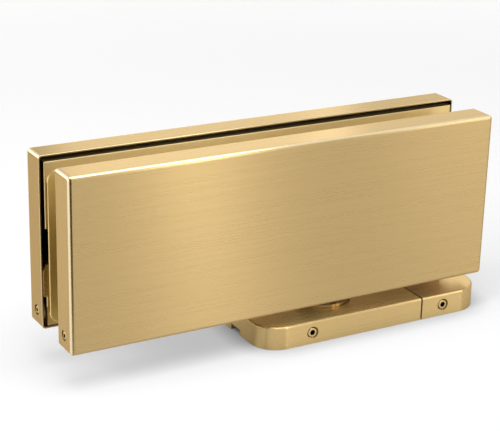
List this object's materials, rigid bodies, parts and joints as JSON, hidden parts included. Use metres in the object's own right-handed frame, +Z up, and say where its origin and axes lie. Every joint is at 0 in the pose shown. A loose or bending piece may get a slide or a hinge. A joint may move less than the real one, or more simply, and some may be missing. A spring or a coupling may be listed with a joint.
{
  "type": "hydraulic patch hinge",
  "caption": "Self-closing floor pivot hinge for a glass door: two long flat covers clamp the glass's corner, and a low rounded floor base holds the pivot and its oil-damped cam closer.",
  "frame": {"origin": "on the spindle's axis at floor level, in the middle of the glass", "axes": "+X along the covers to the pivot end, -Y to the front cover, +Z up"},
  "size_m": [0.1665, 0.037, 0.0745],
  "materials": {
    "satin_brass": "brushed lengthwise, satin",
    "gold_aluminium": "gold anodised casting",
    "gasket": "gold-coloured satin pad",
    "clip_metal": "plain",
    "steel": "machined",
    "hard_steel": "ground",
    "spring_steel": "oil blackened",
    "bronze": "turned",
    "seal": "black"
  },
  "bodies": {
    "floor_base": {"floor_plate": "steel", "base_cover": "satin_brass", "base_end_cover": "satin_brass", "base_set_screws": "satin_brass", "spindle_socket": "satin_brass", "spindle": "steel", "closing_cam": "hard_steel", "thrust_lower_race": "hard_steel"},
    "needle_ring": {"thrust_needles": "hard_steel", "needle_cage": "bronze"},
    "door_patch": {"main_body": "gold_aluminium", "front_clamp_plate": "gold_aluminium", "rear_clamp_plate": "gold_aluminium", "front_cover": "satin_brass", "rear_cover": "satin_brass", "front_gasket": "gasket", "rear_gasket": "gasket", "cover_clips": "clip_metal", "clamp_bolts": "steel", "cover_set_screws": "satin_brass", "thrust_upper_race": "hard_steel", "spindle_seal": "seal", "lower_bush": "bronze", "upper_bush": "bronze", "top_cap": "steel", "oil_plug": "steel", "spring_end_cap": "steel", "damper_end_cap": "steel", "cap_seals": "seal", "closing_spring": "spring_steel", "damper_spring": "spring_steel"},
    "closing_piston": {"closing_piston": "steel", "closing_piston_seal": "seal", "closing_roller_pin": "hard_steel", "check_ball": "hard_steel", "check_plug": "bronze"},
    "closing_roller": {"closing_roller": "hard_steel"},
    "damper_piston": {"damper_piston": "steel", "damper_piston_seal": "seal", "damper_roller_pin": "hard_steel"},
    "damper_roller": {"damper_roller": "hard_steel"},
    "closing_speed_valve": {"closing_speed_valve": "bronze"},
    "latching_speed_valve": {"latching_speed_valve": "bronze"}
  },
  "joints": [
    {"name": "door_swing", "type": "hinge", "parent": "floor_base", "child": "door_patch", "pos_m": [0, 0, 0], "axis": [0, 0, 1], "range_deg": [0, 90], "stiffness_Nm_per_rad": 6, "springref_deg": -22.92},
    {"name": "needle_ring_turn", "type": "hinge", "parent": "floor_base", "child": "needle_ring", "pos_m": [0, 0, 0], "axis": [0, 0, 1], "range_deg": [0, 45]},
    {"name": "closing_piston_slide", "type": "slide", "parent": "door_patch", "child": "closing_piston", "axis": [1, 0, 0], "range_m": [-0.005, 0], "deforming": ["closing_spring"]},
    {"name": "closing_roller_spin", "type": "hinge", "parent": "closing_piston", "child": "closing_roller", "pos_m": [-0.011, 0, 0.035], "axis": [0, 0, 1], "continuous": true},
    {"name": "damper_piston_slide", "type": "slide", "parent": "door_patch", "child": "damper_piston", "axis": [1, 0, 0], "range_m": [-0.005, 0], "deforming": ["damper_spring"]},
    {"name": "damper_roller_spin", "type": "hinge", "parent": "damper_piston", "child": "damper_roller", "pos_m": [0.016, 0, 0.035], "axis": [0, 0, 1], "continuous": true},
    {"name": "closing_speed_turn", "type": "hinge", "parent": "door_patch", "child": "closing_speed_valve", "pos_m": [0.05, -0.0127, 0.0455], "axis": [1, 0, 0], "range_deg": [-180, 180]},
    {"name": "latching_speed_turn", "type": "hinge", "parent": "door_patch", "child": "latching_speed_valve", "pos_m": [0.05, 0.0127, 0.0455], "axis": [1, 0, 0], "range_deg": [-180, 180]}
  ],
  "couplings": [
    {"joint": "needle_ring_turn", "follows": "door_swing", "ratio": 0.5},
    {"joint": "closing_piston_slide", "follows": "door_swing", "m_per_rad": -0.003183},
    {"joint": "damper_piston_slide", "follows": "door_swing", "m_per_rad": -0.003183}
  ]
}
